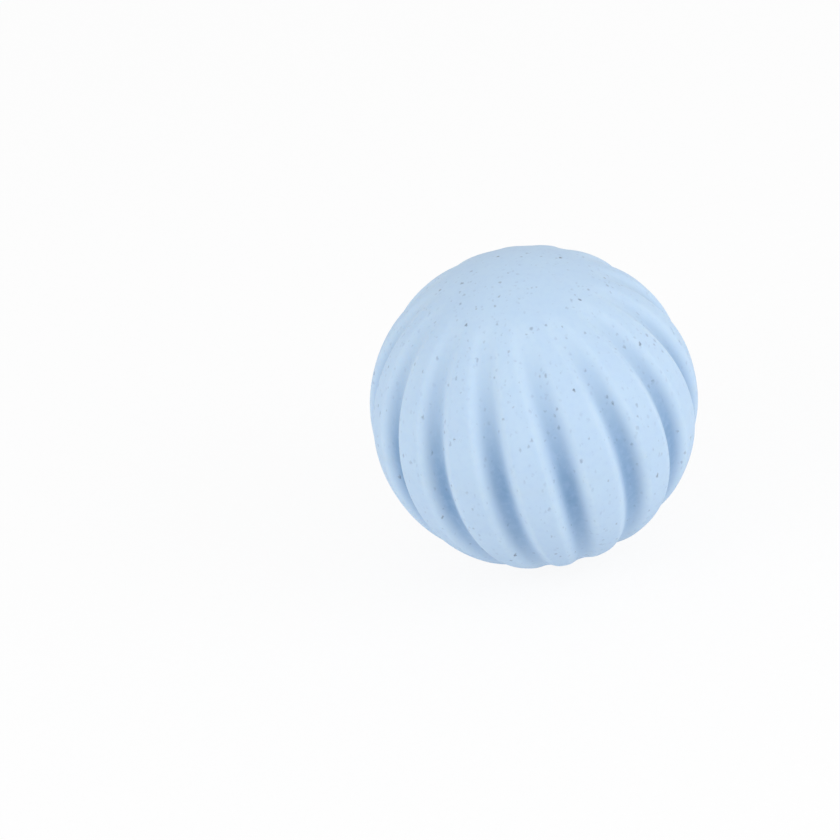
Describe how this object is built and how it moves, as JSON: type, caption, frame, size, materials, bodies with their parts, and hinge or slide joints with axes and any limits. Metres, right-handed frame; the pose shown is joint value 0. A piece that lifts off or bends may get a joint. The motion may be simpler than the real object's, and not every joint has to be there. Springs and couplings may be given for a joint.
{
  "type": "sensory ball",
  "caption": "Soft, palm-sized baby ball with swirled ribs that fade into smooth poles, over a rigid core with a sealed rattle inside.",
  "frame": {"origin": "the centre of the ball, halfway between its poles", "axes": "+Z along the swirl axis of the ribs, from the lower pole to the upper pole; +X to the right as the picture's camera sees it, and +Y away from that camera"},
  "size_m": [0.0697, 0.0699, 0.0684],
  "materials": {
    "skin": "matte, pale blue with small brown and grey flecks",
    "core": "satin, natural off-white",
    "rattle_can": "smooth, milky white",
    "rattle_bead": "smooth, amber"
  },
  "bodies": {
    "ball": {"upper_skin": "skin", "lower_skin": "skin", "upper_core": "core", "lower_core": "core", "rattle_cup": "rattle_can", "rattle_lid": "rattle_can"},
    "bead_1": {"bead_1": "rattle_bead"},
    "bead_2": {"bead_2": "rattle_bead"},
    "bead_3": {"bead_3": "rattle_bead"},
    "bead_4": {"bead_4": "rattle_bead"},
    "bead_5": {"bead_5": "rattle_bead"},
    "bead_6": {"bead_6": "rattle_bead"},
    "bead_7": {"bead_7": "rattle_bead"}
  },
  "joints": [
    {"name": "bead_1_hop", "type": "slide", "parent": "ball", "child": "bead_1", "axis": [0, 0, 1], "range_m": [0, 0.0101]},
    {"name": "bead_2_hop", "type": "slide", "parent": "ball", "child": "bead_2", "axis": [0, 0, 1], "range_m": [0, 0.0101]},
    {"name": "bead_3_hop", "type": "slide", "parent": "ball", "child": "bead_3", "axis": [0, 0, 1], "range_m": [0, 0.0101]},
    {"name": "bead_4_hop", "type": "slide", "parent": "ball", "child": "bead_4", "axis": [0, 0, 1], "range_m": [0, 0.0101]},
    {"name": "bead_5_hop", "type": "slide", "parent": "ball", "child": "bead_5", "axis": [0, 0, 1], "range_m": [0, 0.0101]},
    {"name": "bead_6_hop", "type": "slide", "parent": "ball", "child": "bead_6", "axis": [0, 0, 1], "range_m": [0, 0.0101]},
    {"name": "bead_7_hop", "type": "slide", "parent": "ball", "child": "bead_7", "axis": [0, 0, 1], "range_m": [0, 0.0101]}
  ]
}
